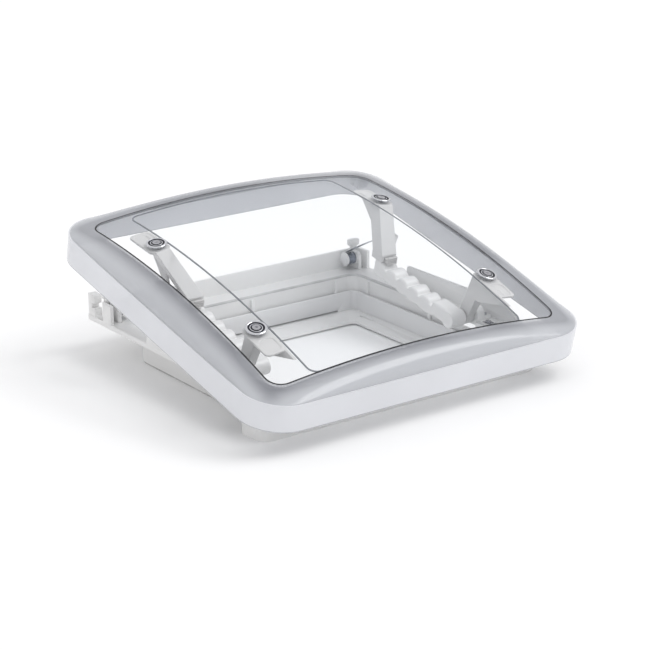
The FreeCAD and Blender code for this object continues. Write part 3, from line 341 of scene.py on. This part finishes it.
def acrylic(name, colour, solid, rough, haze=0.0, edge_share=0.9, cloud=0.04):
    """Thermoformed acrylic. solid is the share that hides what is behind it, haze its variation."""
    material, tree, shader = new_material(name)
    dark = tuple(channel * (1 - cloud) for channel in colour)
    tree.links.new(ramp(tree, object_noise(tree, 9), dark, colour), shader.inputs["Base Color"])
    tree.links.new(spread(tree, object_noise(tree, 30), rough, rough + 0.04), shader.inputs["Roughness"])
    shader.inputs["IOR"].default_value = 1.49
    see_through(tree, shader, solid, haze, edge_share)
    return material


def border_acrylic(name, near, far, solid, rough):
    """The dome's border, alike on all four sides: dark beside the window and paler outwards, with pale
    patches of painted reflection.
    """
    material, tree, shader = new_material(name)
    parts = closed_place(tree)
    across = math_node(tree, "SUBTRACT", math_node(tree, "ABSOLUTE", parts.outputs["X"]), WINDOW_HALF_X)
    along = math_node(tree, "SUBTRACT", math_node(tree, "ABSOLUTE", parts.outputs["Y"]), WINDOW_HALF_Y)
    reach = add_node(tree, "ShaderNodeMath", operation="SMOOTH_MAX")
    reach.inputs[2].default_value = BORDER_CORNER_BLEND
    tree.links.new(across, reach.inputs[0])
    tree.links.new(along, reach.inputs[1])
    out_share = fade(tree, reach.outputs["Value"], BORDER_DARK_AT, BORDER_PALE_AT, 0.0, 0.72)
    # Random pale patches on the band: painted reflection streaks.
    reflection_streaks = fade(tree, object_noise(tree, 7, 2.0), 0.45, 0.65, 0.0, 0.30)
    light = math_node(tree, "MAXIMUM", out_share, reflection_streaks)
    tree.links.new(blended(tree, light, near, far), shader.inputs["Base Color"])
    tree.links.new(spread(tree, object_noise(tree, 24), rough, rough + 0.06), shader.inputs["Roughness"])
    shader.inputs["IOR"].default_value = 1.49
    shader.inputs["Coat Weight"].default_value = 0.4
    shader.inputs["Coat Roughness"].default_value = 0.06
    see_through(tree, shader, solid, 0.04, 0.97, 3.0)
    return material


WHITE_PLASTIC = moulded_plastic("white_frame_plastic", (0.83, 0.828, 0.822), 0.97)
COLLAR_PLASTIC = moulded_plastic("collar_plastic", (0.80, 0.80, 0.805), 0.97)
# The posts are of the frame's white plastic; their darker grey is painted shade for their place under the
# dome.
SHADED_POST_PLASTIC = moulded_plastic("post_plastic_painted_shade", (0.66, 0.655, 0.65), 0.95, (0.24, 0.34))
GRIP_PLASTIC = moulded_plastic("grip_plastic", (0.80, 0.795, 0.79), 0.97, (0.20, 0.30))
BUTTON_PLASTIC = moulded_plastic("button_plastic", (0.60, 0.59, 0.58), 0.92, (0.25, 0.38))
DRUM_PLASTIC = moulded_plastic("drum_plastic", (0.84, 0.84, 0.85), 0.96, (0.2, 0.3))
SEAT_RUBBER = soft_rubber("seat_rubber", (0.62, 0.62, 0.61))
# Near-black rubber for the strip behind the collar: painted shade.
SHADE_STRIP_RUBBER = soft_rubber("shade_strip_rubber", (0.03, 0.03, 0.032))
PALE_SEAL = soft_rubber("pale_seal", (0.66, 0.66, 0.66))
LINE_RUBBER = soft_rubber("window_line_rubber", (0.008, 0.008, 0.010))
PANE_SEAL = soft_rubber("pane_seal", (0.22, 0.23, 0.25))
SPRING_STEEL = metal("spring_steel", (0.13, 0.15, 0.19), (0.18, 0.32))
SCREW_STEEL = metal("screw_steel", (0.50, 0.50, 0.53), (0.18, 0.32))
CHROME = metal("rosette_chrome", (0.72, 0.73, 0.76), (0.05, 0.12))
DARK_CHROME = metal("rosette_groove", (0.07, 0.07, 0.085), (0.18, 0.30))
CLEAR_ACRYLIC = acrylic("clear_acrylic", (0.70, 0.74, 0.80), 0.012, 0.03, 0.004, 0.42)
PANE_ACRYLIC = acrylic("inner_acrylic", (0.80, 0.83, 0.88), 0.010, 0.05, 0.004, 0.22)
BAND_ACRYLIC = border_acrylic("smoked_band", (0.22, 0.228, 0.255), (0.72, 0.735, 0.77), 0.72, 0.14)
SKIRT_ACRYLIC = acrylic("frosted_skirt", (0.84, 0.85, 0.885), 0.80, 0.20, 0.06, 0.96, 0.06)
BUFFER_PLASTIC = acrylic("buffer_plastic", (0.74, 0.75, 0.78), 0.72, 0.25, 0.05)


# ---------------------------------------------------------------- dome

def crown(x, y, depth=0.0):
    """Height of the crown's sphere above a point, lowered by depth."""
    centre = CROWN_TOP - CROWN_RADIUS
    return centre + math.sqrt((CROWN_RADIUS - depth) ** 2 - x * x - y * y)


def edge_distance(x, y, half_x, half_y, corner):
    """How far a point lies inside a rounded rectangle's outline."""
    dx = abs(x) - (half_x - corner)
    dy = abs(y) - (half_y - corner)
    outside = math.hypot(max(dx, 0), max(dy, 0))
    return corner - outside - min(max(dx, dy), 0)


def dome_height(x, y):
    """Outer surface of the dome: a narrow ledge on the skirt, then a quarter round up to the crown."""
    core = DOME_HALF - CROWN_STEP
    inside = max(edge_distance(x, y, core, core, SKIRT_CORNER - CROWN_STEP), 0)
    share = min(inside / CROWN_ROUND, 1)
    rise = max(crown(x, y) - SKIRT_TOP, 0.5 * MM)
    return SKIRT_TOP + rise * math.sqrt(1 - (1 - share) ** 2)


def rounded_sheet(name, half_x, half_y, corner, insets, cuts=26, corner_steps=14):
    """A flat rounded rectangle with rings inside its outline and a grid inside the rings."""
    bpy.ops.mesh.primitive_plane_add(size=2)
    obj = bpy.context.object
    obj.name = name
    obj.scale = (half_x, half_y, 1)
    bpy.ops.object.transform_apply(scale=True)
    bpy.ops.object.mode_set(mode="EDIT")
    bpy.ops.mesh.select_all(action="SELECT")
    bpy.ops.mesh.bevel(offset=corner, segments=corner_steps, affect="VERTICES", offset_type="OFFSET")
    bpy.ops.mesh.select_mode(type="EDGE")
    bpy.ops.mesh.select_all(action="DESELECT")
    mesh = bmesh.from_edit_mesh(obj.data)
    for edge in mesh.edges:
        edge.select_set(edge.calc_length() > half_x / 2)
    bmesh.update_edit_mesh(obj.data)
    bpy.ops.mesh.subdivide(number_cuts=cuts)
    bpy.ops.mesh.select_mode(type="FACE")
    bpy.ops.mesh.select_all(action="SELECT")
    for thickness in insets:
        bpy.ops.mesh.inset(thickness=thickness, use_even_offset=True)
    bpy.ops.mesh.delete(type="ONLY_FACE")
    bpy.ops.mesh.select_mode(type="EDGE")
    bpy.ops.mesh.select_all(action="DESELECT")
    reach = sum(insets)
    mesh = bmesh.from_edit_mesh(obj.data)
    for edge in mesh.edges:
        edge.select_set(edge.is_boundary and all(
            edge_distance(v.co.x, v.co.y, half_x, half_y, corner) > reach - 0.4 * MM for v in edge.verts))
    bmesh.update_edit_mesh(obj.data)
    bpy.ops.mesh.fill_grid(span=(sum(1 for e in mesh.edges if e.select)) // 4)
    bpy.ops.object.mode_set(mode="OBJECT")
    return obj


def raise_points(obj, height):
    """Sets each point's height from its place."""
    for vertex in obj.data.vertices:
        vertex.co.z = height(vertex.co.x, vertex.co.y)
    obj.data.update()


def faces_where(obj, test, material_index):
    for face in obj.data.polygons:
        if test(face.center):
            face.material_index = material_index


def thickened(obj, wall, edge=0.0, segments=2):
    """A wall under the sheet, with eased edges."""
    solid = obj.modifiers.new("Wall", "SOLIDIFY")
    solid.thickness = wall
    solid.offset = -1
    solid.use_even_offset = True
    if edge:
        rounded(obj, edge, segments)
    apply_modifiers(obj)


def outward(obj):
    pick(obj)
    bpy.ops.object.mode_set(mode="EDIT")
    bpy.ops.mesh.select_all(action="SELECT")
    bpy.ops.mesh.remove_doubles(threshold=1e-5)
    bpy.ops.mesh.normals_make_consistent(inside=False)
    bpy.ops.object.mode_set(mode="OBJECT")


def model_outer_dome():
    """The outer shell: a clear window, a black line round it, a smoked band and a frosted skirt."""
    rings = [CROWN_STEP, *BORDER_RINGS]
    reach = DOME_HALF - WINDOW_HALF_X
    rings.append(reach - LINE_WIDE / 2 - sum(rings))
    rings.append(LINE_WIDE)
    obj = rounded_sheet("outer_dome_shell", DOME_HALF, DOME_HALF, SKIRT_CORNER, rings)
    raise_points(obj, dome_height)
    extrude_rim_down(obj, SKIRT_TOP - SKIRT_BOTTOM, SKIRT_STEPS)
    outward(obj)
    dressed(obj, CLEAR_ACRYLIC, BAND_ACRYLIC, SKIRT_ACRYLIC, LINE_RUBBER)

    def inside(spot):
        return edge_distance(spot.x, spot.y, DOME_HALF, DOME_HALF, SKIRT_CORNER)

    faces_where(obj, lambda spot: inside(spot) < reach + LINE_WIDE / 2, 3)
    faces_where(obj, lambda spot: inside(spot) < reach - LINE_WIDE / 2, 1)
    faces_where(obj, lambda spot: inside(spot) < CROWN_STEP * 0.9, 2)
    faces_where(obj, lambda spot: spot.z < SKIRT_BOTTOM + RIM_LINE, 1)
    thickened(obj, DOME_WALL, 0.5 * MM, 3)
    for face in obj.data.polygons:
        if face.material_index == 3 and face.normal.z < 0:
            face.material_index = 0
    smooth(obj, 50)
    settle(obj, TILT)
    return stand_in(obj, "dome", "outer_dome")


def extrude_rim_down(obj, drop, shares):
    """Takes the open rim of a sheet straight down in steps."""
    pick(obj)
    bpy.ops.object.mode_set(mode="EDIT")
    bpy.ops.mesh.select_mode(type="EDGE")
    bpy.ops.mesh.select_all(action="DESELECT")
    mesh = bmesh.from_edit_mesh(obj.data)
    for edge in mesh.edges:
        edge.select_set(edge.is_boundary)
    bmesh.update_edit_mesh(obj.data)
    for share in shares:
        bpy.ops.mesh.extrude_region_move(TRANSFORM_OT_translate={"value": (0, 0, -drop * share)})
    bpy.ops.object.mode_set(mode="OBJECT")


def model_inner_pane():
    """The inner pane, bent to the crown."""
    half_x = PANE_HALF_X - PANE_SETBACK
    half_y = WINDOW_HALF_Y - PANE_SETBACK
    obj = rounded_sheet("inner_pane_sheet", half_x, half_y, PANE_CORNER, [SEAL_WIDE, 0.6 * MM])
    raise_points(obj, lambda x, y: crown(x, y, PANE_DROP))
    outward(obj)
    thickened(obj, PANE_WALL, 0.4 * MM, 2)
    dressed(obj, PANE_ACRYLIC)
    smooth(obj, 50)
    settle(obj, TILT)
    return stand_in(obj, "dome", "inner_pane")


def on_crown(x, y, depth=0.0):
    """The place and turn of a thing that stands on the crown, dome closed."""
    centre = Vector((0, 0, CROWN_TOP - CROWN_RADIUS))
    normal = Vector((x, y, math.sqrt(CROWN_RADIUS ** 2 - x * x - y * y))).normalized()
    turn = Vector((0, 0, 1)).rotation_difference(normal).to_matrix().to_4x4()
    return Matrix.Translation(centre + normal * (CROWN_RADIUS - depth)) @ turn


def turned_piece(name, radius, height, steps, vertices=56):
    """A round piece: a short cylinder whose top is inset and moved, step by step (inward, up)."""
    deselect()
    bpy.ops.mesh.primitive_cylinder_add(vertices=vertices, radius=radius, depth=height,
                                        location=(0, 0, height / 2))
    obj = bpy.context.object
    obj.name = name
    bpy.ops.object.transform_apply(location=True)
    bpy.ops.object.mode_set(mode="EDIT")
    bpy.ops.mesh.select_mode(type="FACE")
    bpy.ops.mesh.select_all(action="DESELECT")
    mesh = bmesh.from_edit_mesh(obj.data)
    for face in mesh.faces:
        face.select_set(face.normal.z > 0.9)
    bmesh.update_edit_mesh(obj.data)
    for inward, up in steps:
        bpy.ops.mesh.inset(thickness=inward)
        bpy.ops.transform.translate(value=(0, 0, up))
    bpy.ops.object.mode_set(mode="OBJECT")
    return obj


def model_rosette(tag, x, y):
    """Chromed screw cup: rolled outer lip, dark groove, and a bright inner ring."""
    steps = [(0.7 * MM, 0.5 * MM), (1.0 * MM, 0.25 * MM), (0.9 * MM, -0.35 * MM), (0.5 * MM, -0.9 * MM),
             (1.4 * MM, -0.1 * MM), (0.4 * MM, 0.8 * MM), (0.9 * MM, 0.1 * MM), (0.5 * MM, -0.9 * MM),
             (1.0 * MM, -0.1 * MM)]
    obj = turned_piece("rosette_" + tag, CUP_RADIUS, 1.0 * MM, steps)
    dressed(obj, CHROME, DARK_CHROME)
    groove_outer = CUP_RADIUS - 2.6 * MM
    faces_where(obj, lambda spot: groove_outer - 2.2 * MM < math.hypot(spot.x, spot.y) < groove_outer, 1)
    faces_where(obj, lambda spot: math.hypot(spot.x, spot.y) < CUP_RADIUS - 6.0 * MM and spot.z > 0.2 * MM, 1)
    rounded(obj, 0.15 * MM, 2, 30)
    apply_modifiers(obj)
    smooth(obj, 50)
    settle(obj, TILT @ on_crown(x, y, -0.3 * MM))
    return stand_in(obj, "dome", "screw_rosette_" + tag)


model_outer_dome()
model_inner_pane()
for end, end_tag in ((-1, "front_"), (1, "rear_")):
    for side, side_tag in ((-1, "left"), (1, "right")):
        model_rosette(end_tag + side_tag, side * POST_X, end * POST_Y)


# ---------------------------------------------------------------- the rest of the dome and the frame

def rounded_ring(name, half_x, half_y, corner, width, height, place):
    """A flat strip bent round a rounded rectangle."""
    deselect()
    bpy.ops.mesh.primitive_plane_add(size=2)
    obj = bpy.context.object
    obj.name = name
    obj.scale = (half_x, half_y, 1)
    bpy.ops.object.transform_apply(scale=True)
    bpy.ops.object.mode_set(mode="EDIT")
    bpy.ops.mesh.select_all(action="SELECT")
    bpy.ops.mesh.bevel(offset=corner, segments=10, affect="VERTICES", offset_type="OFFSET")
    bpy.ops.mesh.select_mode(type="FACE")
    bpy.ops.mesh.select_all(action="SELECT")
    bpy.ops.mesh.inset(thickness=width, use_even_offset=True)
    bpy.ops.mesh.delete(type="FACE")
    bpy.ops.object.mode_set(mode="OBJECT")
    outward(obj)
    thickened(obj, height)
    settle(obj, Matrix.Translation(place))
    return obj


def model_collar_shade_strip():
    """A dark strip behind the collar's foot, painted shade for the shadowed gap that shows through the drain
    slots. It has no CAD node.
    """
    low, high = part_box("inner_collar")
    middle = (low + high) / 2
    half = (high - low) / 2
    obj = rounded_ring("collar_shade_strip", half.x + SHADE_STRIP_GAP, half.y + SHADE_STRIP_GAP, SHADE_STRIP_CORNER, SHADE_STRIP_WIDE, SHADE_STRIP_HIGH,
                       (middle.x, middle.y, low.z + SHADE_STRIP_LEVEL))
    dressed(obj, SHADE_STRIP_RUBBER)
    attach(obj, "frame")


def model_spring_tape(node):
    """The steel tape, with a slight bow, from its coil on the frame to the rear post on the dome."""
    low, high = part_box(node)
    obj = merged_copy(node, node + "_tape")
    pick(obj)
    bpy.ops.object.mode_set(mode="EDIT")
    bpy.ops.mesh.select_mode(type="EDGE")
    bpy.ops.mesh.select_all(action="DESELECT")
    mesh = bmesh.from_edit_mesh(obj.data)
    for edge in mesh.edges:
        edge.select_set(edge.calc_length() > (high.y - low.y) / 2)
    bmesh.update_edit_mesh(obj.data)
    bpy.ops.mesh.subdivide(number_cuts=30)
    bpy.ops.object.mode_set(mode="OBJECT")
    for vertex in obj.data.vertices:
        share = (high.y - vertex.co.y) / (high.y - low.y)
        vertex.co.z += TAPE_BOW * math.sin(math.pi * min(max(share, 0), 1))
    smooth(obj, 60)
    dressed(obj, SPRING_STEEL)
    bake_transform(obj)
    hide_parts(node)


# The dark strip behind the collar is painted shade.
model_collar_shade_strip()
refined("base_frame", "frame", WHITE_PLASTIC, 0.5 * MM)
refined("inner_collar", "frame", COLLAR_PLASTIC, 0.4 * MM)
for tag in ("left", "right"):
    soft_moulded("grip_handle_" + tag, "dome", GRIP_PLASTIC, 0.8 * MM, 8)
    for node in ("front_post_", "rear_post_"):
        soft_moulded(node + tag, "dome", SHADED_POST_PLASTIC, 0.5 * MM, 3)
    refined("release_button_" + tag, "button_" + tag, BUTTON_PLASTIC, 0.4 * MM)
    refined("hinge_bracket_" + tag, "frame", WHITE_PLASTIC, 0.4 * MM)
    refined("hinge_pin_" + tag, "frame", SCREW_STEEL, 0.3 * MM)
    refined("spring_cradle_" + tag, "frame", WHITE_PLASTIC, 0.5 * MM)
    refined("spring_drum_" + tag, "drum_" + tag, DRUM_PLASTIC, 0.4 * MM)
    refined("spring_coil_" + tag, "drum_" + tag, SPRING_STEEL, 0.2 * MM)
    refined("striker_" + tag, "frame", WHITE_PLASTIC, 0.6 * MM)
    refined("leaf_spring_" + tag, "frame", SCREW_STEEL, 0.15 * MM)
    model_spring_tape("spring_ribbon_" + tag)
for node, body, slot, material in (
    ("seat_gasket", "frame", "gasket", SEAT_RUBBER),
    ("rim_seal", "frame", "soft_seal", PALE_SEAL),
    ("corner_buffers", "dome", "buffer", BUFFER_PLASTIC),
    ("bracket_screws", "frame", "screw_steel", SCREW_STEEL),
    ("leaf_screws", "frame", "screw_steel", SCREW_STEEL),
    ("post_screws", "dome", "screw_steel", SCREW_STEEL),
):
    refined(node, body, material, 0.3 * MM)
dressed(NODES["window_seal"], PANE_SEAL)


# ---------------------------------------------------------------- room, lights and camera

def add_floor():
    bpy.ops.mesh.primitive_plane_add(size=24)
    floor = bpy.context.object
    floor.name = "floor"
    material, tree, shader = new_material("white_floor")
    tree.links.new(ramp(tree, object_noise(tree, 1.5), (0.945, 0.945, 0.945), (0.95, 0.95, 0.95)),
                   shader.inputs["Base Color"])
    shader.inputs["Roughness"].default_value = 0.9
    shader.inputs["Specular IOR Level"].default_value = 0.0
    dressed(floor, material)


def add_sun(name, towards, power, spread_angle):
    """A broad, even light from one side of the sky."""
    data = bpy.data.lights.new(name, "SUN")
    data.energy = power
    data.angle = math.radians(spread_angle)
    light = bpy.data.objects.new(name, data)
    bpy.context.scene.collection.objects.link(light)
    light.rotation_euler = Vector(towards).to_track_quat("Z", "Y").to_euler()


def add_world(level):
    world = bpy.data.worlds.new("studio")
    world.use_nodes = True
    world.node_tree.nodes["Background"].inputs["Color"].default_value = (level, level, level * 1.01, 1)
    bpy.context.scene.world = world


def add_camera():
    data = bpy.data.cameras.new("camera")
    data.sensor_width = 36
    data.lens = 113.91
    camera = bpy.data.objects.new("camera", data)
    bpy.context.scene.collection.objects.link(camera)
    right = Vector((0.81396, -0.58079, -0.01215))
    up = Vector((0.19478, 0.25316, 0.94762))
    back = Vector((-0.54729, -0.77369, 0.31918))
    turn = Matrix((right, up, back)).transposed().to_4x4()
    camera.matrix_world = Matrix.Translation((-1.2712, -1.8161, 0.7927)) @ turn
    bpy.context.scene.camera = camera


add_floor()
add_world(0.86)
add_sun("key", (0.55, -0.40, 0.90), 0.95, 34)
add_camera()
bpy.context.scene.view_settings.view_transform = "Standard"
bpy.context.scene.cycles.transparent_max_bounces = 48
